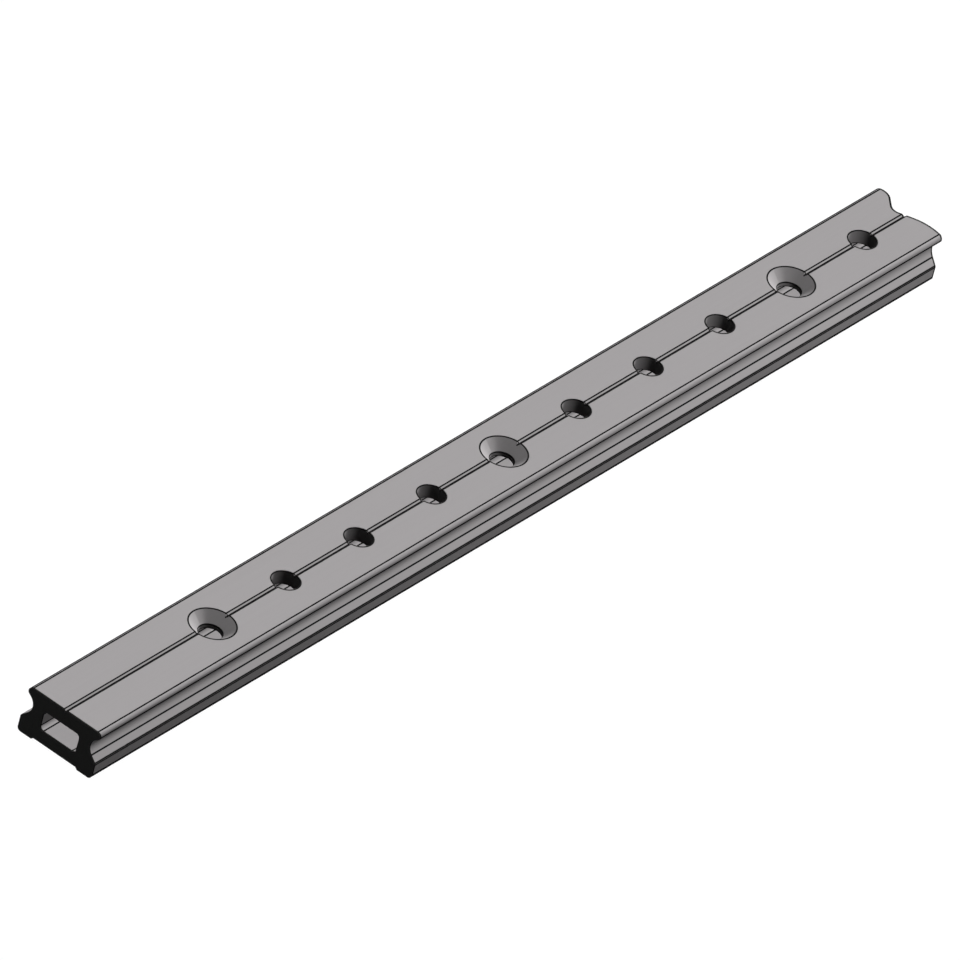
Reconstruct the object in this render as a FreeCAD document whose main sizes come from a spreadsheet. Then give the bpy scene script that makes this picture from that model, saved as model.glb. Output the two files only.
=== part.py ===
import FreeCAD, Part

import math
import os
import types

import Sketcher
from FreeCAD import Vector

# Sail track section, one aluminium extrusion that carries a ball-bearing car.
# Own frame in millimetres: +X runs from the sawn end to the wave-cut end, +Z is up,
# and the origin lies under the middle of the track, on the plane of its two feet.

# Driving dimensions. They fill the sheet, and every sketch and feature is bound to it.
SIZES = {
    # Stock
    "overall_length": 292.8,        # sawn end to the highest crest of the wave-cut end
    "track_height": 12.0,           # feet to top face
    # Top flange and ball race
    "flange_width": 20.0,           # across the two rounded noses
    "nose_radius": 1.0,             # rounded edge of the flange
    "race_radius": 2.9,             # concave race that the balls run in
    # Base
    "base_width": 20.7,             # across the upright sides
    "shoulder_height": 4.0,         # feet to the sharp corner of slope and side
    "slope_angle": 45.0,            # slope from the race out to the shoulder, in degrees
    "shoulder_radius": 0.5,         # rounding of that corner
    "foot_radius": 1.0,             # rounding of the bottom outer corner
    "recess_width": 12.8,           # shallow channel between the feet, at its mouth
    "recess_depth": 0.5,            # its depth, with 45 degree walls
    # Centre line groove and hollow core
    "groove_width": 1.0,            # 90 degree scribe groove along the top
    "hollow_width": 10.0,
    "hollow_radius": 1.0,           # all four inner corners
    "top_wall": 3.5,                # top face to the hollow
    "bottom_wall": 3.5,             # feet to the hollow
    # Countersunk fastener holes, M5 clearance
    "end_margin": 50.0,             # sawn end to the first fastener
    "fastener_pitch": 100.0,
    "fastener_bore": 5.5,
    "countersink_width": 10.4,
    "countersink_angle": 90.0,      # in degrees
    # Plain holes for the plunger of a stop
    "stop_pitch": 25.0,
    "stop_bore": 6.3,
    "stop_run_in": 2.5,             # how far the drill runs on into the hollow
    "least_land": 3.0,              # least metal left between two rims, or a rim and the cut
    # Wave-cut end, seen from the sawn end: left is +Y, right is -Y. Angles lean from straight across.
    "left_edge_angle": 45.0,
    "left_crest_offset": 8.0,       # centre line to the highest crest
    "left_crest_radius": 3.4,
    "inner_flank_angle": 45.0,      # highest crest down to the trough
    "trough_depth": 3.6,            # below the highest crest
    "trough_radius": 2.3,
    "outer_flank_angle": 22.0,      # trough up to the right crest
    "right_crest_drop": 1.4,        # below the highest crest
    "right_crest_radius": 12.5,
    "right_edge_angle": 14.0,
    "cut_run_out": 6.0,             # how far the saw path runs on past the metal
}

# Ends of a sketch element, as the sketcher numbers them, and the two sketch axes.
START, END, CENTRE = range(1, 4)
X_AXIS, Y_AXIS = -1, -2

size = types.SimpleNamespace(**SIZES)


def fill_sheet(document):
    """One row for each driving dimension: its name, then its value under that alias."""
    sheet = document.addObject("Spreadsheet::Sheet", "Sizes")
    for row, (alias, value) in enumerate(SIZES.items(), start=1):
        sheet.set(f"A{row}", alias)
        sheet.set(f"B{row}", str(value))
        sheet.setAlias(f"B{row}", alias)
    document.recompute()
    return sheet


def origin_plane(body, role):
    return next(plane for plane in body.Origin.OriginFeatures if plane.Role == role)


def new_sketch(body, name, role, height=None):
    """A sketch on one of the body's origin planes, raised by an expression where one is given."""
    sketch = body.newObject("Sketcher::SketchObject", name)
    sketch.AttachmentSupport = [(origin_plane(body, role), "")]
    sketch.MapMode = "FlatFace"
    if height:
        sketch.setExpression("AttachmentOffset.Base.z", height)
    return sketch


def line(sketch, start, end):
    return sketch.addGeometry(Part.LineSegment(Vector(*start), Vector(*end)))


def arc(sketch, centre, radius, first, last):
    """An arc that runs counterclockwise from the first angle to the last, in degrees."""
    circle = Part.Circle(Vector(*centre), Vector(0, 0, 1), radius)
    return sketch.addGeometry(Part.ArcOfCircle(circle, math.radians(first), math.radians(last)))


def constrain(sketch, kind, *where):
    sketch.addConstraint(Sketcher.Constraint(kind, *where))


def dimension(sketch, name, kind, *where, sheet_says):
    """A named dimension that takes its value from an expression in the sheet's aliases."""
    value = float(sketch.evalExpression(sheet_says))
    if kind == "Angle":
        value = math.radians(value)
    index = sketch.addConstraint(Sketcher.Constraint(kind, *where, value))
    sketch.renameConstraint(index, name)
    sketch.setExpression("Constraints." + name, sheet_says)


def race_centre():
    """Centre of the ball race, which is tangent to the nose above it and to the slope below it."""
    slope = math.radians(size.slope_angle)
    outward = Vector(math.sin(slope), math.cos(slope))
    uphill = Vector(-math.cos(slope), math.sin(slope))
    nose = Vector(size.flange_width / 2 - size.nose_radius, size.track_height - size.nose_radius)
    corner = Vector(size.base_width / 2, size.shoulder_height)
    # The centre lies one race radius off the slope, and both radii away from the nose centre.
    foot = corner + outward * size.race_radius - nose
    reach = size.race_radius + size.nose_radius
    along = -foot.dot(uphill) - math.sqrt(foot.dot(uphill) ** 2 - foot.dot(foot) + reach ** 2)
    return nose + foot + uphill * along


def draw_half_section(sketch):
    """The right half of the die outline, hollow included, closed along the centre line."""
    top = size.track_height
    side = size.base_width / 2
    nose = (size.flange_width / 2 - size.nose_radius, top - size.nose_radius)
    race = race_centre()
    slope = math.radians(size.slope_angle)
    to_nose = math.degrees(math.atan2(nose[1] - race.y, nose[0] - race.x))
    race_foot = (race.x - size.race_radius * math.sin(slope), race.y - size.race_radius * math.cos(slope))
    set_back = size.shoulder_radius * math.tan((math.pi / 2 - slope) / 2)
    shoulder = (side - size.shoulder_radius, size.shoulder_height - set_back)
    shoulder_top = (side - set_back * math.cos(slope), size.shoulder_height + set_back * math.sin(slope))
    foot = (side - size.foot_radius, size.foot_radius)
    groove_half = size.groove_width / 2
    groove_floor = top - groove_half
    channel = size.recess_width / 2
    channel_roof = channel - size.recess_depth
    wall = size.hollow_width / 2
    floor, ceiling = size.bottom_wall, top - size.top_wall
    inner_x = wall - size.hollow_radius
    low, high = floor + size.hollow_radius, ceiling - size.hollow_radius

    groove = line(sketch, (0, groove_floor), (groove_half, top))
    top_face = line(sketch, (groove_half, top), (nose[0], top))
    nose_arc = arc(sketch, nose, size.nose_radius, to_nose - 180, 90)
    race_arc = arc(sketch, (race.x, race.y), size.race_radius, to_nose, 270 - size.slope_angle)
    slope_face = line(sketch, shoulder_top, race_foot)
    shoulder_arc = arc(sketch, shoulder, size.shoulder_radius, 0, 90 - size.slope_angle)
    side_face = line(sketch, (side, foot[1]), (side, shoulder[1]))
    foot_arc = arc(sketch, foot, size.foot_radius, 270, 360)
    foot_face = line(sketch, (channel, 0), (foot[0], 0))
    channel_wall = line(sketch, (channel_roof, size.recess_depth), (channel, 0))
    roof = line(sketch, (0, size.recess_depth), (channel_roof, size.recess_depth))
    lower_web = line(sketch, (0, size.recess_depth), (0, floor))
    hollow_floor = line(sketch, (0, floor), (inner_x, floor))
    low_corner = arc(sketch, (inner_x, low), size.hollow_radius, 270, 360)
    hollow_wall = line(sketch, (wall, low), (wall, high))
    high_corner = arc(sketch, (inner_x, high), size.hollow_radius, 0, 90)
    hollow_ceiling = line(sketch, (0, ceiling), (inner_x, ceiling))
    upper_web = line(sketch, (0, ceiling), (0, groove_floor))
    corner = sketch.addGeometry(Part.Point(Vector(side, size.shoulder_height)), True)

    for first, first_end, second, second_end in (
        (groove, END, top_face, START),
        (foot_face, START, channel_wall, END),
        (channel_wall, START, roof, END),
        (roof, START, lower_web, START),
        (lower_web, END, hollow_floor, START),
        (hollow_ceiling, START, upper_web, START),
        (upper_web, END, groove, START),
    ):
        constrain(sketch, "Coincident", first, first_end, second, second_end)
    for first, first_end, second, second_end in (
        (top_face, END, nose_arc, END),
        (nose_arc, START, race_arc, START),
        (race_arc, END, slope_face, END),
        (slope_face, START, shoulder_arc, END),
        (shoulder_arc, START, side_face, END),
        (side_face, START, foot_arc, END),
        (foot_arc, START, foot_face, END),
        (hollow_floor, END, low_corner, START),
        (low_corner, END, hollow_wall, START),
        (hollow_wall, END, high_corner, START),
        (high_corner, END, hollow_ceiling, END),
    ):
        constrain(sketch, "Tangent", first, first_end, second, second_end)
    for level in (top_face, foot_face, roof, hollow_floor, hollow_ceiling):
        constrain(sketch, "Horizontal", level)
    for upright in (side_face, hollow_wall):
        constrain(sketch, "Vertical", upright)
    for web in (lower_web, upper_web):
        constrain(sketch, "PointOnObject", web, START, Y_AXIS)
        constrain(sketch, "PointOnObject", web, END, Y_AXIS)
    constrain(sketch, "PointOnObject", foot_face, START, X_AXIS)
    constrain(sketch, "PointOnObject", corner, START, slope_face)
    constrain(sketch, "PointOnObject", corner, START, side_face)
    constrain(sketch, "Equal", low_corner, high_corner)

    dimension(sketch, "height", "DistanceY", top_face, START, sheet_says="Sizes.track_height")
    dimension(sketch, "groove_half", "DistanceX", groove, END, sheet_says="Sizes.groove_width / 2")
    dimension(sketch, "groove_floor", "DistanceY", groove, START,
              sheet_says="Sizes.track_height - Sizes.groove_width / 2")
    dimension(sketch, "nose", "Radius", nose_arc, sheet_says="Sizes.nose_radius")
    dimension(sketch, "nose_reach", "DistanceX", nose_arc, CENTRE,
              sheet_says="Sizes.flange_width / 2 - Sizes.nose_radius")
    dimension(sketch, "race", "Radius", race_arc, sheet_says="Sizes.race_radius")
    dimension(sketch, "slope", "Angle", slope_face, sheet_says="180 - Sizes.slope_angle")
    dimension(sketch, "shoulder", "Radius", shoulder_arc, sheet_says="Sizes.shoulder_radius")
    dimension(sketch, "shoulder_level", "DistanceY", corner, START, sheet_says="Sizes.shoulder_height")
    dimension(sketch, "side", "DistanceX", side_face, START, sheet_says="Sizes.base_width / 2")
    dimension(sketch, "foot", "Radius", foot_arc, sheet_says="Sizes.foot_radius")
    dimension(sketch, "channel_half", "DistanceX", foot_face, START, sheet_says="Sizes.recess_width / 2")
    dimension(sketch, "channel_roof", "DistanceY", roof, START, sheet_says="Sizes.recess_depth")
    dimension(sketch, "channel_roof_half", "DistanceX", roof, END,
              sheet_says="Sizes.recess_width / 2 - Sizes.recess_depth")
    dimension(sketch, "hollow_half", "DistanceX", hollow_wall, START, sheet_says="Sizes.hollow_width / 2")
    dimension(sketch, "hollow_corner", "Radius", low_corner, sheet_says="Sizes.hollow_radius")
    dimension(sketch, "hollow_floor", "DistanceY", hollow_floor, START, sheet_says="Sizes.bottom_wall")
    dimension(sketch, "hollow_ceiling", "DistanceY", hollow_ceiling, START,
              sheet_says="Sizes.track_height - Sizes.top_wall")


def extrude_section(body):
    """The half section drawn through its whole length, then mirrored across the centre plane."""
    section = new_sketch(body, "HalfSection", "YZ_Plane")
    draw_half_section(section)
    half = body.newObject("PartDesign::Pad", "HalfExtrusion")
    half.Profile = section
    half.setExpression("Length", "Sizes.overall_length")
    body.Document.recompute()
    whole = body.newObject("PartDesign::Mirrored", "Extrusion")
    whole.Originals = [half]
    whole.MirrorPlane = (origin_plane(body, "XZ_Plane"), [""])
    whole.Refine = True
    body.Tip = whole
    body.Document.recompute()
    return whole


def last_hole_x(rim):
    """How far along the track a hole of this rim can sit and still leave its land before the cut."""
    return size.overall_length - size.trough_depth - size.least_land - rim / 2


def fastener_count():
    return 1 + int((last_hole_x(size.countersink_width) - size.end_margin) // size.fastener_pitch)


def drill_fasteners(body):
    """Countersunk through holes, down both walls of the hollow, at the fastener pitch."""
    plan = new_sketch(body, "FastenerPlan", "XY_Plane", height="Sizes.track_height")
    rim = plan.addGeometry(Part.Circle(Vector(size.end_margin, 0), Vector(0, 0, 1), size.fastener_bore / 2))
    constrain(plan, "PointOnObject", rim, CENTRE, X_AXIS)
    dimension(plan, "bore", "Diameter", rim, sheet_says="Sizes.fastener_bore")
    dimension(plan, "margin", "DistanceX", rim, CENTRE, sheet_says="Sizes.end_margin")
    body.Document.recompute()

    hole = body.newObject("PartDesign::Hole", "FastenerHole")
    hole.Profile = plan
    hole.DepthType = "ThroughAll"
    hole.HoleCutType = "Countersink"
    hole.HoleCutCustomValues = True
    hole.setExpression("Diameter", "Sizes.fastener_bore")
    hole.setExpression("HoleCutDiameter", "Sizes.countersink_width")
    hole.setExpression("HoleCutCountersinkAngle", "Sizes.countersink_angle")
    body.Document.recompute()
    if fastener_count() < 2:
        return hole

    row = body.newObject("PartDesign::LinearPattern", "FastenerRow")
    row.Originals = [hole]
    row.Direction = (origin_plane(body, "X_Axis"), [""])
    row.Mode = "Spacing"
    row.setExpression("Offset", "Sizes.fastener_pitch")
    row.Occurrences = fastener_count()
    body.Tip = row
    body.Document.recompute()
    return row


def stop_positions():
    """Bay and step of each stop hole: steps of the stop pitch after a fastener, while there is room."""
    rims = size.countersink_width / 2 + size.stop_bore / 2
    room_to_fastener = size.fastener_pitch - rims - size.least_land
    for bay in range(fastener_count()):
        start = size.end_margin + bay * size.fastener_pitch
        room_to_cut = last_hole_x(size.stop_bore) - start
        steps = int(min(room_to_fastener, room_to_cut) // size.stop_pitch)
        for step in range(1, steps + 1):
            yield bay, step


def drill_stops(body):
    """Plain holes through the top wall only, where a stop's plunger drops in."""
    plan = new_sketch(body, "StopPlan", "XY_Plane", height="Sizes.track_height")
    for bay, step in stop_positions():
        place = f"Sizes.end_margin + {bay} * Sizes.fastener_pitch + {step} * Sizes.stop_pitch"
        centre = Vector(float(plan.evalExpression(place)), 0)
        rim = plan.addGeometry(Part.Circle(centre, Vector(0, 0, 1), size.stop_bore / 2))
        constrain(plan, "PointOnObject", rim, CENTRE, X_AXIS)
        dimension(plan, f"bore_{bay}_{step}", "Diameter", rim, sheet_says="Sizes.stop_bore")
        dimension(plan, f"place_{bay}_{step}", "DistanceX", rim, CENTRE, sheet_says=place)
    body.Document.recompute()

    holes = body.newObject("PartDesign::Pocket", "StopHoles")
    holes.Profile = plan
    holes.setExpression("Length", "Sizes.top_wall + Sizes.stop_run_in")
    body.Document.recompute()
    return holes


def across_flank(drop, radii, angle):
    """How far apart two arc centres lie across the track: their arcs are joined by a tangent flank
    that leans by the angle, and the tips of the arcs differ in level by the drop."""
    turn = math.radians(angle)
    flank = (drop - radii * (1 - math.cos(turn))) / math.sin(turn)
    return radii * math.sin(turn) + flank * math.cos(turn)


def tangent(angle):
    return math.tan(math.radians(angle))


def on_arc(centre, radius, angle):
    turn = math.radians(angle)
    return centre[0] + radius * math.cos(turn), centre[1] + radius * math.sin(turn)


def draw_wave(sketch):
    """The saw path seen from above: crest, trough and crest, three arcs joined by tangent flanks."""
    tip = size.overall_length
    right_tip = tip - size.right_crest_drop
    trough_tip = tip - size.trough_depth
    beyond = tip + size.cut_run_out
    reach = size.base_width / 2 + size.cut_run_out
    left_radius, trough_radius = size.left_crest_radius, size.trough_radius
    right_radius = size.right_crest_radius
    inner, outer = size.inner_flank_angle, size.outer_flank_angle
    left_y = size.left_crest_offset
    trough_y = left_y - across_flank(size.trough_depth, left_radius + trough_radius, inner)
    right_y = trough_y - across_flank(right_tip - trough_tip, trough_radius + right_radius, outer)
    left = (tip - left_radius, left_y)
    trough = (trough_tip + trough_radius, trough_y)
    right = (right_tip - right_radius, right_y)
    left_start = on_arc(left, left_radius, size.left_edge_angle)
    inner_start = on_arc(left, left_radius, -inner)
    inner_end = on_arc(trough, trough_radius, 180 - inner)
    outer_start = on_arc(trough, trough_radius, 180 + outer)
    outer_end = on_arc(right, right_radius, outer)
    right_end = on_arc(right, right_radius, -size.right_edge_angle)
    left_far = (left_start[0] - (reach - left_start[1]) * tangent(size.left_edge_angle), reach)
    right_far = (right_end[0] - (reach + right_end[1]) * tangent(size.right_edge_angle), -reach)

    left_edge = line(sketch, left_far, left_start)
    left_crest = arc(sketch, left, left_radius, -inner, size.left_edge_angle)
    inner_flank = line(sketch, inner_start, inner_end)
    trough_arc = arc(sketch, trough, trough_radius, 180 - inner, 180 + outer)
    outer_flank = line(sketch, outer_start, outer_end)
    right_crest = arc(sketch, right, right_radius, -size.right_edge_angle, outer)
    right_edge = line(sketch, right_end, right_far)
    right_side = line(sketch, right_far, (beyond, -reach))
    back = line(sketch, (beyond, -reach), (beyond, reach))
    left_side = line(sketch, (beyond, reach), left_far)

    for first, first_end, second, second_end in (
        (left_edge, END, left_crest, END),
        (left_crest, START, inner_flank, START),
        (inner_flank, END, trough_arc, START),
        (trough_arc, END, outer_flank, START),
        (outer_flank, END, right_crest, END),
        (right_crest, START, right_edge, START),
    ):
        constrain(sketch, "Tangent", first, first_end, second, second_end)
    for first, first_end, second, second_end in (
        (right_edge, END, right_side, START),
        (right_side, END, back, START),
        (back, END, left_side, START),
        (left_side, END, left_edge, START),
    ):
        constrain(sketch, "Coincident", first, first_end, second, second_end)
    constrain(sketch, "Vertical", back)
    constrain(sketch, "Horizontal", right_side)
    constrain(sketch, "Horizontal", left_side)

    dimension(sketch, "left_crest", "Radius", left_crest, sheet_says="Sizes.left_crest_radius")
    dimension(sketch, "left_crest_x", "DistanceX", left_crest, CENTRE,
              sheet_says="Sizes.overall_length - Sizes.left_crest_radius")
    dimension(sketch, "left_crest_y", "DistanceY", left_crest, CENTRE, sheet_says="Sizes.left_crest_offset")
    dimension(sketch, "trough", "Radius", trough_arc, sheet_says="Sizes.trough_radius")
    dimension(sketch, "trough_x", "DistanceX", trough_arc, CENTRE,
              sheet_says="Sizes.overall_length - Sizes.trough_depth + Sizes.trough_radius")
    dimension(sketch, "right_crest", "Radius", right_crest, sheet_says="Sizes.right_crest_radius")
    dimension(sketch, "right_crest_x", "DistanceX", right_crest, CENTRE,
              sheet_says="Sizes.overall_length - Sizes.right_crest_drop - Sizes.right_crest_radius")
    dimension(sketch, "left_edge", "Angle", left_edge, sheet_says="Sizes.left_edge_angle - 90")
    dimension(sketch, "inner_flank", "Angle", inner_flank, sheet_says="-90 - Sizes.inner_flank_angle")
    dimension(sketch, "outer_flank", "Angle", outer_flank, sheet_says="Sizes.outer_flank_angle - 90")
    dimension(sketch, "right_edge", "Angle", right_edge, sheet_says="-90 - Sizes.right_edge_angle")
    dimension(sketch, "back_x", "DistanceX", back, START,
              sheet_says="Sizes.overall_length + Sizes.cut_run_out")
    dimension(sketch, "back_right", "DistanceY", back, START,
              sheet_says="-Sizes.base_width / 2 - Sizes.cut_run_out")
    dimension(sketch, "back_left", "DistanceY", back, END,
              sheet_says="Sizes.base_width / 2 + Sizes.cut_run_out")


def cut_wave(body):
    """The wavy far end, sawn straight down through the whole section."""
    path = new_sketch(body, "WavePath", "XY_Plane")
    draw_wave(path)
    body.Document.recompute()
    cut = body.newObject("PartDesign::Pocket", "WaveCut")
    cut.Profile = path
    cut.Type = "ThroughAll"
    cut.Reversed = True
    body.Document.recompute()
    return cut


def require_removed(before, after):
    if not after.Shape.Volume < before.Shape.Volume:
        raise RuntimeError(f"{after.Label} removed nothing from {before.Label}")


def make_track(document):
    body = document.addObject("PartDesign::Body", "track_section")
    body.Label = "track_section"
    body.setExpression("Placement.Base.x", "-Sizes.overall_length / 2")
    extrusion = extrude_section(body)
    fasteners = drill_fasteners(body)
    require_removed(extrusion, fasteners)
    stops = drill_stops(body)
    require_removed(fasteners, stops)
    wave = cut_wave(body)
    require_removed(stops, wave)
    return body


def check(document, bodies):
    """Stops on any object that failed to build, before a file is written."""
    for item in document.Objects:
        if "Invalid" in item.State or "Error" in item.State:
            raise RuntimeError(f"{item.Label} did not build: {item.State}")
    for body in bodies:
        if body.Shape.isNull() or not body.Shape.isValid():
            raise RuntimeError(f"{body.Label} has no valid shape")
        if len(body.Shape.Solids) != 1:
            raise RuntimeError(f"{body.Label} is not one solid")


def main():
    document = FreeCAD.newDocument("SailTrack")
    fill_sheet(document)
    bodies = [make_track(document)]
    document.recompute()
    check(document, bodies)
    os.makedirs("parts", exist_ok=True)
    for body in bodies:
        body.Shape.exportStep(f"parts/{body.Label}.step")
        box = body.Shape.BoundBox
        print(f"{body.Label}: {box.XLength:.2f} x {box.YLength:.2f} x {box.ZLength:.2f} mm,",
              f"{body.Shape.Volume:.0f} mm3, {len(body.Shape.Faces)} faces")


main()
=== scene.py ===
import math

import bpy
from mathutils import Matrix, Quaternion, Vector


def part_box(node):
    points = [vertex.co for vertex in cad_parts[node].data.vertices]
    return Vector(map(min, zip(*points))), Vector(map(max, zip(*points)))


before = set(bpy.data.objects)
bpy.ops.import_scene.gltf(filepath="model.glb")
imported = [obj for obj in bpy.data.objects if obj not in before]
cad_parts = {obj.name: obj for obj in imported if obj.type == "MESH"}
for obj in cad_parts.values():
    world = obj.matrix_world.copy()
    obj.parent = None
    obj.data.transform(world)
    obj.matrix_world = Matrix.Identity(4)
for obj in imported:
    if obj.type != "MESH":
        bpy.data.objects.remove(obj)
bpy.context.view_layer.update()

# Sail track section: one anodised aluminium extrusion, lying on a white studio floor.
# Sizes here are millimetres and angles degrees, in the track's own frame: +X runs from the
# sawn end to the wave-cut end, +Y to the left of it, and +Z up from the plane of the two feet.
MM = 0.001
high_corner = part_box("track_section")[1]
HALF_LENGTH = high_corner.x / MM
TRACK_HEIGHT = high_corner.z / MM
SIDE_OFFSET = high_corner.y / MM

# The die section. Offsets are from the centre plane.
NOSE_RADIUS = 1.0
NOSE_OFFSET = 9.0
NOSE_CENTRE = Vector((NOSE_OFFSET, TRACK_HEIGHT - NOSE_RADIUS))
RACE_RADIUS = 2.9
SLOPE_ANGLE = 45.0
SHOULDER_HEIGHT = 4.0
SHOULDER_RADIUS = 0.5
FOOT_RADIUS = 1.0
RECESS_WIDTH = 12.8
RECESS_DEPTH = 0.5
GROOVE_WIDTH = 1.0
HOLLOW_WIDTH = 10.0
HOLLOW_RADIUS = 1.0
TOP_WALL = 3.5
BOTTOM_WALL = 3.5

# Two directions in the section: square to the slope below the race, and up along it
OUTWARD = Vector((math.sin(math.radians(SLOPE_ANGLE)), math.cos(math.radians(SLOPE_ANGLE))))
UPHILL = Vector((-OUTWARD.y, OUTWARD.x))

# The holes on the centre line
END_MARGIN = 50.0
SCREW_PITCH = 100.0
SCREW_BORE = 5.5
COUNTERSINK_WIDTH = 10.4
STOP_PITCH = 25.0
STOP_BORE = 6.3

# The wave of the far end. Angles are off straight across.
LEFT_CREST_OFFSET = 8.0
LEFT_CREST_RADIUS = 3.4
LEFT_EDGE_ANGLE = 45.0
INNER_FLANK_ANGLE = 45.0
TROUGH_DEPTH = 3.6
TROUGH_RADIUS = 2.3
OUTER_FLANK_ANGLE = 22.0
RIGHT_CREST_DROP = 1.4
RIGHT_CREST_RADIUS = 12.5
RIGHT_EDGE_ANGLE = 14.0

# The drawn lines. The picture draws them half off the part at a rim or a cut end. On the part
# that half would be lost, so the rim lines lie a little outside the rim and a hair towards the
# viewer, and the cut ends' are wider.
LINE_WIDTH = 0.38
GROOVE_LINE_WIDTH = 0.36
CUT_LINE_WIDTH = 0.90
RIM_LINE_OFFSET = 0.12
RIM_LINE_SHIFT = (-0.09, -0.05, 0)
NOTCH_LINE_OFFSET = 0.25
LINE_BLUR = 0.06

# The finish. A cut face is told by its place, to within what its facets leave out, and by how
# far its normal points along the track.
METAL_COLOUR = "#A4A1A2"
METAL_LIGHT = "#A8A5A6"
# The dark lines share their colour with the painted shade along the roundings and the groove's right
# wall.
LINE_AND_SHADE_COLOUR = "#202020"
# Both cut ends are painted darker than the metal, in two streak tones: a painted shade for the shade
# that the sawn end lies in.
SHADED_CUT_COLOUR = "#686868"
SHADED_CUT_STREAK = "#717171"
FACET_ERROR = 0.05
CUT_FACING = 0.5
DRAW_LINE_SPACING = 0.6
DRAW_LINE_LENGTH = 60.0
DRAW_LINE_DEPTH = 0.01
STREAK_SPREAD = (0.3, 0.7)
SATIN_ROUGHNESS = (0.42, 0.52)
NOSE_LEAN = 12.0

# The studio. The floor lies a hair below the feet, so that no two faces share a plane.
FLOOR_WIDTH = 60000.0
FLOOR_GAP = 0.05
FLOOR_GLOW = 0.64
WORLD_FILL = 0.015
SIDE_LAMP_PLACE = (171, -267, 18)
SIDE_LAMP_WIDTH = 60
SIDE_LAMP_WATTS = 0.215

# The view, with the width that the picture takes in at the aim point
VIEW_AZIMUTH = -59.912
VIEW_ELEVATION = 36.484
VIEW_ROLL = 15.156
VIEW_WIDTH = 205.04
VIEW_AIM = Vector((-1.672, 0.843, 6.0))
LENS = 1650.0
SENSOR = 36.0


def linear(hex_colour):
    """An sRGB hex colour as linear red, green, blue and alpha."""
    shares = [int(hex_colour[i:i + 2], 16) / 255 for i in (1, 3, 5)]
    return [s / 12.92 if s <= 0.04045 else ((s + 0.055) / 1.055) ** 2.4 for s in shares] + [1.0]


def empty_tree(owner):
    """The node tree of a material or a world, cleared of the nodes that it starts with."""
    owner.use_nodes = True
    owner.node_tree.nodes.clear()
    return owner.node_tree


def add(tree, kind, *inputs, named=None, **settings):
    """Adds a node with its settings, and feeds its inputs from values, sockets or other nodes."""
    node = tree.nodes.new(kind)
    for name, value in settings.items():
        setattr(node, name, value)
    fed = list(zip([socket for socket in node.inputs if socket.enabled], inputs))
    fed += [(node.inputs[name], value) for name, value in (named or {}).items()]
    for socket, value in fed:
        if isinstance(value, bpy.types.Node):
            value = next(output for output in value.outputs if output.enabled)
        if isinstance(value, bpy.types.NodeSocket):
            tree.links.new(value, socket)
        else:
            socket.default_value = value
    return node


def race_centre():
    """Centre of the race's arc: (offset, height). It lies a race radius off the slope, and as far
    from the nose's centre as both radii together, so that the nose's arc runs into the race's."""
    off_slope = Vector((SIDE_OFFSET, SHOULDER_HEIGHT)) + OUTWARD * RACE_RADIUS - NOSE_CENTRE
    along = off_slope.dot(UPHILL)
    reach = RACE_RADIUS + NOSE_RADIUS
    back = along + math.sqrt(along ** 2 - off_slope.dot(off_slope) + reach ** 2)
    return NOSE_CENTRE + off_slope - UPHILL * back


def nose_foot():
    """Where the nose's arc runs into the race's: (offset, height)."""
    return NOSE_CENTRE + (race_centre() - NOSE_CENTRE) * NOSE_RADIUS / (RACE_RADIUS + NOSE_RADIUS)


def section_arrises():
    """The lines along the track where two faces meet, apart from the groove's, as (distance from
    the centre plane, height)."""
    corner = Vector((SIDE_OFFSET, SHOULDER_HEIGHT))
    set_back = SHOULDER_RADIUS * math.tan(math.radians((90 - SLOPE_ANGLE) / 2))
    wall, inner = HOLLOW_WIDTH / 2, HOLLOW_WIDTH / 2 - HOLLOW_RADIUS
    floor, ceiling = BOTTOM_WALL, TRACK_HEIGHT - TOP_WALL
    return [
        (NOSE_OFFSET, TRACK_HEIGHT),
        nose_foot(),
        race_centre() - OUTWARD * RACE_RADIUS,
        corner + UPHILL * set_back,
        corner - Vector((0, set_back)),
        (SIDE_OFFSET, FOOT_RADIUS),
        (SIDE_OFFSET - FOOT_RADIUS, 0),
        (RECESS_WIDTH / 2, 0),
        (RECESS_WIDTH / 2 - RECESS_DEPTH, RECESS_DEPTH),
        (inner, floor),
        (wall, floor + HOLLOW_RADIUS),
        (wall, ceiling - HOLLOW_RADIUS),
        (inner, ceiling),
    ]


def groove_lines_and_shade():
    """The groove's two edges, its bottom, and its right wall, which turns away from the lamps and gets
    a painted shade that joins the right edge's line as one thick line, as (distance left of the centre
    plane, height)."""
    half = GROOVE_WIDTH / 2
    return [
        (half, TRACK_HEIGHT),
        (0, TRACK_HEIGHT - half),
        (-half / 2, TRACK_HEIGHT - half / 2),
        (-half, TRACK_HEIGHT),
    ]


def outline_and_shade_strands():
    """Where a line runs along a rounding, partly drawn outline and partly painted shade where the
    rounding turns down or away from the lamps: (distance left of the centre plane, height).
    Each rounding's line is made of strands side by side, at angles that turn up from the left."""
    lines = [(-SIDE_OFFSET, FOOT_RADIUS + LINE_WIDTH / 2)]
    for offset, height, radius, angles in (
        (NOSE_OFFSET, NOSE_CENTRE.y, NOSE_RADIUS, (42, 62)),
        (-NOSE_OFFSET, NOSE_CENTRE.y, NOSE_RADIUS, (182, 198, 214)),
        (FOOT_RADIUS - SIDE_OFFSET, FOOT_RADIUS, FOOT_RADIUS, (192, 208, 224)),
    ):
        for turn in map(math.radians, angles):
            lines.append((offset + radius * math.cos(turn), height + radius * math.sin(turn)))
    return lines


def nearest(tree, across, height, points):
    """Distance to the nearest of some points of a plane, given a place's two coordinates in it."""
    here = add(tree, "ShaderNodeCombineXYZ", across, height)
    least = None
    for point in points:
        away = add(tree, "ShaderNodeVectorMath", here, (*point, 0), operation="DISTANCE")
        least = away if least is None else add(tree, "ShaderNodeMath", least, away, operation="MINIMUM")
    return least


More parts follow.
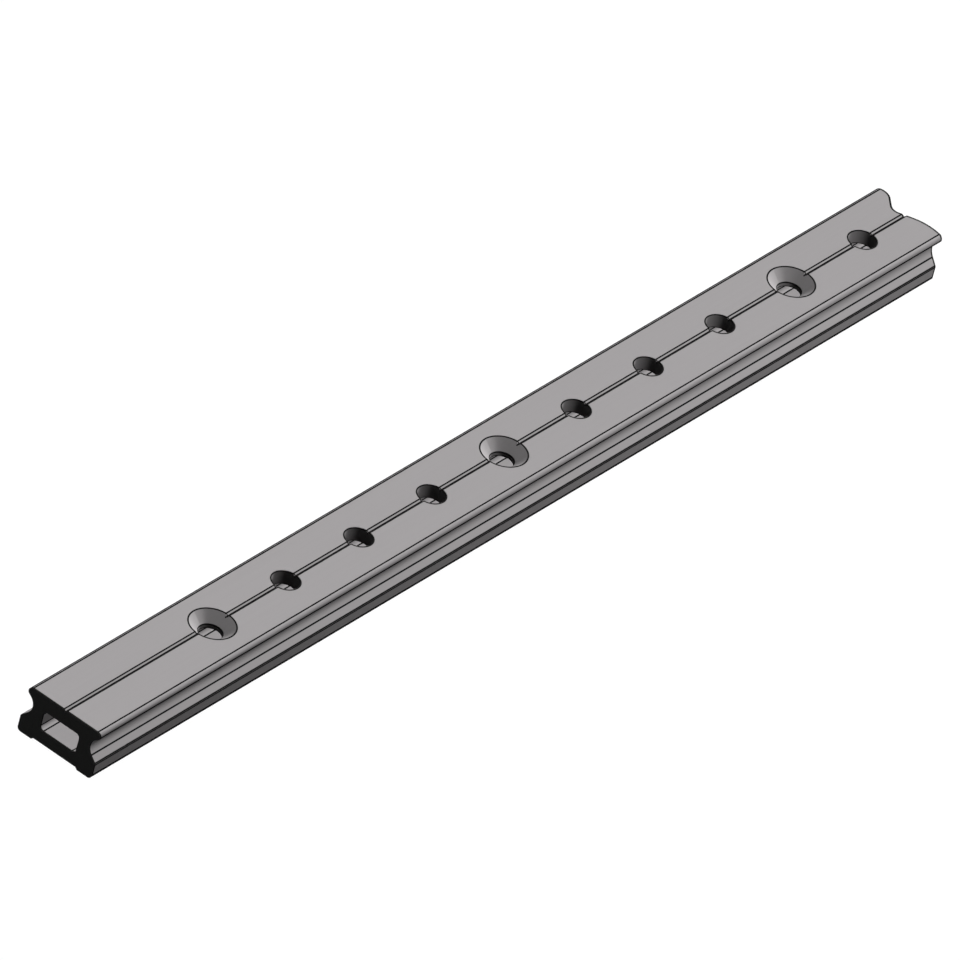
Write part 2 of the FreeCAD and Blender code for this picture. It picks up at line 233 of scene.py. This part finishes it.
def from_hole_rims(tree, x, y, z):
    """Distance to the nearest rim of a screw hole or a stop hole, at either mouth of each wall, or
    to the notches that the groove cuts into the upper rims."""
    roof = TRACK_HEIGHT - TOP_WALL
    bore, sink, stop = SCREW_BORE / 2, COUNTERSINK_WIDTH / 2, STOP_BORE / 2
    throat = TRACK_HEIGHT - sink + bore
    screw_rims = [(bore, height) for height in (throat, roof, BOTTOM_WALL, RECESS_DEPTH)]
    stop_rims = [(stop, roof)]
    for dip in (GROOVE_WIDTH / 4, GROOVE_WIDTH / 2):
        screw_rims.append((sink - dip + NOTCH_LINE_OFFSET * math.sqrt(2), TRACK_HEIGHT - dip))
        stop_rims.append((stop + NOTCH_LINE_OFFSET, TRACK_HEIGHT - dip))

    past_first = add(tree, "ShaderNodeMath", x, HALF_LENGTH - END_MARGIN, operation="ADD")
    rims, along_track = [], []
    for pitch, mouth, points in ((SCREW_PITCH, sink, screw_rims), (STOP_PITCH, stop, stop_rims)):
        along = add(tree, "ShaderNodeMath", past_first, pitch / 2, -pitch / 2, operation="WRAP")
        plan = add(tree, "ShaderNodeCombineXYZ", along, y)
        radius = add(tree, "ShaderNodeVectorMath", plan, operation="LENGTH")
        shifted = add(tree, "ShaderNodeVectorMath", plan, RIM_LINE_SHIFT, operation="SUBTRACT")
        mouth_radius = add(tree, "ShaderNodeVectorMath", shifted, operation="LENGTH")
        upper = nearest(tree, mouth_radius, z, [(mouth + RIM_LINE_OFFSET, TRACK_HEIGHT)])
        lower = nearest(tree, radius, z, points)
        rims.append(add(tree, "ShaderNodeMath", upper, lower, operation="MINIMUM"))
        along_track.append(along)

    # No stop hole shares a screw hole's place, and none comes before the first screw hole.
    from_screw = add(tree, "ShaderNodeMath", along_track[0], operation="ABSOLUTE")
    at_screw = add(tree, "ShaderNodeMath", from_screw, STOP_PITCH / 2, operation="LESS_THAN")
    too_early = add(tree, "ShaderNodeMath", past_first, STOP_PITCH / 2, operation="LESS_THAN")
    no_stop = add(tree, "ShaderNodeMath", at_screw, too_early, operation="MAXIMUM")
    stop_rim = add(tree, "ShaderNodeMath", no_stop, STOP_PITCH, rims[1], operation="MULTIPLY_ADD")
    return add(tree, "ShaderNodeMath", rims[0], stop_rim, operation="MINIMUM")


def inside_bend(tree, plan, centre, radius, first, last, facing):
    """Distance inside an arc and its two tangents, which leave it at the first and the last angle.
    Facing is (1, 1, 0) for a crest and (-1, -1, 0) for a trough."""
    from_centre = add(tree, "ShaderNodeVectorMath", plan, (*centre, 0), operation="SUBTRACT")
    turned = add(tree, "ShaderNodeVectorMath", from_centre, facing, operation="MULTIPLY")
    parts = add(tree, "ShaderNodeSeparateXYZ", turned)
    away = add(tree, "ShaderNodeVectorMath", turned, operation="LENGTH")
    angle = add(tree, "ShaderNodeMath", parts.outputs["Y"], parts.outputs["X"], operation="ARCTAN2")
    on_arc = add(tree, "ShaderNodeClamp", angle, math.radians(first), math.radians(last))
    lean = add(tree, "ShaderNodeMath", angle, on_arc, operation="SUBTRACT")
    share = add(tree, "ShaderNodeMath", lean, operation="COSINE")
    reach = add(tree, "ShaderNodeMath", away, share, operation="MULTIPLY")
    inside = add(tree, "ShaderNodeMath", radius, reach, operation="SUBTRACT")
    return add(tree, "ShaderNodeMath", inside, facing[0], operation="MULTIPLY")


def across_flank(drop, radii, angle):
    """How far apart two arc centres lie across the track, when a leaning flank joins their arcs."""
    turn = math.radians(angle)
    flank = (drop - radii * (1 - math.cos(turn))) / math.sin(turn)
    return radii * math.sin(turn) + flank * math.cos(turn)


def from_wave(tree, x, y):
    """Distance from the wave-cut end, measured in plan."""
    crest_x = HALF_LENGTH - LEFT_CREST_RADIUS
    trough_x = HALF_LENGTH - TROUGH_DEPTH + TROUGH_RADIUS
    right_x = HALF_LENGTH - RIGHT_CREST_DROP - RIGHT_CREST_RADIUS
    trough_y = LEFT_CREST_OFFSET - across_flank(
        TROUGH_DEPTH, LEFT_CREST_RADIUS + TROUGH_RADIUS, INNER_FLANK_ANGLE)
    right_y = trough_y - across_flank(
        TROUGH_DEPTH - RIGHT_CREST_DROP, TROUGH_RADIUS + RIGHT_CREST_RADIUS, OUTER_FLANK_ANGLE)
    inner_y = (LEFT_CREST_OFFSET + trough_y) / 2
    outer_y = trough_y - TROUGH_RADIUS * math.sin(math.radians(OUTER_FLANK_ANGLE))

    plan = add(tree, "ShaderNodeCombineXYZ", x, y)
    left = inside_bend(tree, plan, (crest_x, LEFT_CREST_OFFSET), LEFT_CREST_RADIUS,
                       -INNER_FLANK_ANGLE, LEFT_EDGE_ANGLE, (1, 1, 0))
    trough = inside_bend(tree, plan, (trough_x, trough_y), TROUGH_RADIUS,
                         -INNER_FLANK_ANGLE, OUTER_FLANK_ANGLE, (-1, -1, 0))
    right = inside_bend(tree, plan, (right_x, right_y), RIGHT_CREST_RADIUS,
                        -RIGHT_EDGE_ANGLE, OUTER_FLANK_ANGLE, (1, 1, 0))
    is_left = add(tree, "ShaderNodeMath", y, inner_y, operation="GREATER_THAN")
    is_right = add(tree, "ShaderNodeMath", y, outer_y, operation="LESS_THAN")
    inner = add(tree, "ShaderNodeMix", is_left, trough, left)
    return add(tree, "ShaderNodeMix", is_right, inner, right)


def leaning_normal(tree, normal, y, z):
    """The surface's own normal, but on the two noses turned a few degrees further down. The picture
    shades them as if each met the top at a slight crease. The track lies unturned, so that the
    world's X axis is its own."""
    aside = add(tree, "ShaderNodeMath", y, operation="ABSOLUTE")
    outside = add(tree, "ShaderNodeMath", aside, NOSE_OFFSET, operation="GREATER_THAN")
    above = add(tree, "ShaderNodeMath", z, nose_foot().y, operation="GREATER_THAN")
    on_nose = add(tree, "ShaderNodeMath", outside, above, operation="MULTIPLY")
    hand = add(tree, "ShaderNodeMath", y, operation="SIGN")
    share = add(tree, "ShaderNodeMath", on_nose, hand, operation="MULTIPLY")
    turn = add(tree, "ShaderNodeMath", share, -math.radians(NOSE_LEAN), operation="MULTIPLY")
    return add(tree, "ShaderNodeVectorRotate", normal, (0, 0, 0), turn, rotation_type="X_AXIS")


def cut_share(tree, from_cut, normal):
    """1 on the two cut faces, which carry a painted shade, 0 on all others."""
    at_cut = add(tree, "ShaderNodeMath", from_cut, FACET_ERROR, operation="LESS_THAN")
    lengthwise = add(tree, "ShaderNodeSeparateXYZ", normal).outputs["X"]
    facing = add(tree, "ShaderNodeMath", lengthwise, operation="ABSOLUTE")
    faces_out = add(tree, "ShaderNodeMath", facing, CUT_FACING, operation="GREATER_THAN")
    return add(tree, "ShaderNodeMath", at_cut, faces_out, operation="MULTIPLY")


def line_and_shade_share(tree, x, y, z, from_cut):
    """1 on the fine dark lines along arrises, rims and cut ends, and on the painted shade along
    roundings and the groove's right wall, 0 on the open metal.
    """
    aside = add(tree, "ShaderNodeMath", y, operation="ABSOLUTE")
    least = None
    for away, width in (
        (nearest(tree, aside, z, section_arrises()), LINE_WIDTH),
        (nearest(tree, y, z, outline_and_shade_strands()), LINE_WIDTH),
        (nearest(tree, y, z, groove_lines_and_shade()), GROOVE_LINE_WIDTH),
        (from_hole_rims(tree, x, y, z), LINE_WIDTH),
        (from_cut, CUT_LINE_WIDTH),
    ):
        past = add(tree, "ShaderNodeMath", away, width / 2, operation="SUBTRACT")
        least = past if least is None else add(tree, "ShaderNodeMath", least, past, operation="MINIMUM")
    return add(tree, "ShaderNodeMapRange", least, -LINE_BLUR / 2, LINE_BLUR / 2, 1.0, 0.0)


def anodised_aluminium():
    """Anodised aluminium, drawn through a die, etched and anodised grey. The eye gets a dull satin
    grey with hardly a highlight, faint lines along the bar from the die, fine dark lines along every
    edge, strands of painted shade along roundings that turn from the lamps, and both cut ends painted
    darker as painted shade."""
    material = bpy.data.materials.new("anodised_aluminium")
    tree = empty_tree(material)
    coordinates = add(tree, "ShaderNodeTexCoord").outputs["Object"]
    place = add(tree, "ShaderNodeVectorMath", coordinates, (1 / MM,) * 3, operation="MULTIPLY")
    x, y, z = add(tree, "ShaderNodeSeparateXYZ", place).outputs
    normal = add(tree, "ShaderNodeNewGeometry").outputs["Normal"]

    # The die's lines are far finer in the metal. They are drawn this coarse to show at all.
    stretch = (1 / DRAW_LINE_LENGTH, 1 / DRAW_LINE_SPACING, 1 / DRAW_LINE_SPACING)
    along = add(tree, "ShaderNodeVectorMath", place, stretch, operation="MULTIPLY")
    streaks = add(tree, "ShaderNodeTexNoise", along, named={
        "Scale": 1.0, "Detail": 3.0, "Roughness": 0.55})
    roughness = add(tree, "ShaderNodeMapRange", streaks, *STREAK_SPREAD, *SATIN_ROUGHNESS)
    relief = add(tree, "ShaderNodeBump", named={
        "Strength": 0.25, "Distance": DRAW_LINE_DEPTH * MM, "Height": streaks.outputs["Fac"],
        "Normal": leaning_normal(tree, normal, y, z).outputs["Vector"]})

    from_sawn_end = add(tree, "ShaderNodeMath", x, HALF_LENGTH, operation="ADD")
    from_cut = add(tree, "ShaderNodeMath", from_sawn_end, from_wave(tree, x, y), operation="MINIMUM")
    lines = line_and_shade_share(tree, x, y, z, from_cut)
    on_cut = cut_share(tree, from_cut, normal)
    metal = (linear(METAL_COLOUR), linear(METAL_LIGHT))
    cut_shade = (linear(SHADED_CUT_COLOUR), linear(SHADED_CUT_STREAK))
    grey = add(tree, "ShaderNodeMix", streaks, *metal, data_type="RGBA")
    # The dark lines and the strands of painted shade go over the grey.
    edged = add(tree, "ShaderNodeMix", lines, grey, linear(LINE_AND_SHADE_COLOUR), data_type="RGBA")
    # The cut faces carry a painted shade: the die's streaks in a darker grey.
    dark = add(tree, "ShaderNodeMix", streaks, *cut_shade, data_type="RGBA")
    colour = add(tree, "ShaderNodeMix", on_cut, edged, dark, data_type="RGBA")

    # The picture has no highlight, so hardly any of the metal's mirror is left.
    shader = add(tree, "ShaderNodeBsdfPrincipled", colour, named={
        "Metallic": 0.04, "Roughness": roughness, "Specular IOR Level": 0.0, "Normal": relief})
    add(tree, "ShaderNodeOutputMaterial", shader)
    return material


def is_reflected(tree, path):
    """1 for a ray that a glossy or a clear surface sends on, 0 for any other."""
    return add(tree, "ShaderNodeMath", path["Is Glossy Ray"], path["Is Transmission Ray"],
               operation="MAXIMUM")


def studio_floor():
    """A matt white floor. The camera sees it white with a pale shadow, and reflections see it white.
    For all other light it is dull, so that it throws hardly any light back at the track."""
    bpy.ops.object.select_all(action="DESELECT")
    bpy.ops.mesh.primitive_plane_add(size=FLOOR_WIDTH * MM, location=(0, 0, -FLOOR_GAP * MM))
    floor = bpy.context.object
    floor.name = "studio_floor"
    material = bpy.data.materials.new("matt_white_floor")
    tree = empty_tree(material)
    path = add(tree, "ShaderNodeLightPath").outputs
    matt = add(tree, "ShaderNodeBsdfDiffuse", linear("#AAAAAA"))
    glow = add(tree, "ShaderNodeEmission", linear("#FFFFFF"), FLOOR_GLOW)
    looked_at = add(tree, "ShaderNodeAddShader", matt, glow)
    white = add(tree, "ShaderNodeEmission", linear("#FFFFFF"), 1.0)
    dull = add(tree, "ShaderNodeBsdfDiffuse", linear("#404040"))
    unseen = add(tree, "ShaderNodeMixShader", is_reflected(tree, path), dull, white)
    surface = add(tree, "ShaderNodeMixShader", path["Is Camera Ray"], unseen, looked_at)
    add(tree, "ShaderNodeOutputMaterial", surface)
    floor.data.materials.append(material)


def studio_world():
    """White to the camera and in reflections, and a faint fill for all other light."""
    world = bpy.data.worlds.new("studio")
    bpy.context.scene.world = world
    tree = empty_tree(world)
    path = add(tree, "ShaderNodeLightPath").outputs
    seen = add(tree, "ShaderNodeMath", path["Is Camera Ray"], is_reflected(tree, path),
               operation="MAXIMUM")
    fill = add(tree, "ShaderNodeBackground", linear("#FFFFFF"), WORLD_FILL)
    white = add(tree, "ShaderNodeBackground", linear("#FFFFFF"), 1.0)
    add(tree, "ShaderNodeOutputWorld", add(tree, "ShaderNodeMixShader", seen, fill, white))


def hang_lamp(name, kind, towards, strength, shadow):
    """A lamp that shines on the track from a given side. One that throws no shadow lights what it
    reaches, and nothing by way of it."""
    data = bpy.data.lights.new(name, kind)
    data.energy = strength
    data.use_shadow = shadow
    if not shadow:
        data.cycles.max_bounces = 0
    lamp = bpy.data.objects.new(name, data)
    lamp.rotation_mode = "QUATERNION"
    lamp.rotation_quaternion = Vector(towards).to_track_quat("Z", "Y")
    bpy.context.scene.collection.objects.link(lamp)
    return lamp


def studio_lamps():
    """Four distant lamps, each with its side, strength, angle and whether it throws a shadow, and a
    near one. The picture is lit inside its holes and its hollow as it is on top, so the lamps that
    give its light throw no shadow. The soft lamp gives the floor its pale one. The far side's lamp
    stands in for what a white floor throws up at the side that the picture hides, and comes in so
    low that it lights no hole."""
    for name, towards, strength, angle, shadow in (
        ("end_lamp", (0.885, -0.045, 0.46), 3.48, 10, False),
        ("overhead_lamp", (0.08, 0.0, 1.0), 1.10, 10, False),
        ("soft_lamp", (0.1, 0.1, 1.0), 0.23, 60, True),
        ("far_side_lamp", (0.5, 0.86, 0.0), 1.2, 3, True),
    ):
        distant = hang_lamp(name, "SUN", towards, strength, shadow)
        distant.data.angle = math.radians(angle)
    near = hang_lamp("side_lamp", "AREA", SIDE_LAMP_PLACE, SIDE_LAMP_WATTS, False)
    near.data.size = SIDE_LAMP_WIDTH * MM
    near.location = Vector(SIDE_LAMP_PLACE) * MM


def photo_camera():
    """A very long lens from far off, so that the view is nearly as free of perspective as the
    photograph's, which has none."""
    data = bpy.data.cameras.new("photo_view")
    data.lens = LENS
    data.sensor_width = SENSOR
    camera = bpy.data.objects.new("photo_view", data)
    bpy.context.scene.collection.objects.link(camera)
    bpy.context.scene.camera = camera
    azimuth, elevation = math.radians(VIEW_AZIMUTH), math.radians(VIEW_ELEVATION)
    back = Vector((math.sin(azimuth) * math.cos(elevation), -math.cos(azimuth) * math.cos(elevation),
                   math.sin(elevation)))
    distance = VIEW_WIDTH * LENS / SENSOR
    camera.location = (VIEW_AIM + back * distance) * MM
    camera.rotation_mode = "QUATERNION"
    roll = Quaternion((0, 0, 1), math.radians(VIEW_ROLL))
    camera.rotation_quaternion = (-back).to_track_quat("-Z", "Y") @ roll
    data.clip_start = 0.5 * distance * MM
    data.clip_end = 2 * distance * MM


bpy.context.scene.view_settings.view_transform = "Standard"
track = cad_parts["track_section"]
track.data.materials.clear()
track.data.materials.append(anodised_aluminium())
studio_floor()
studio_world()
studio_lamps()
photo_camera()
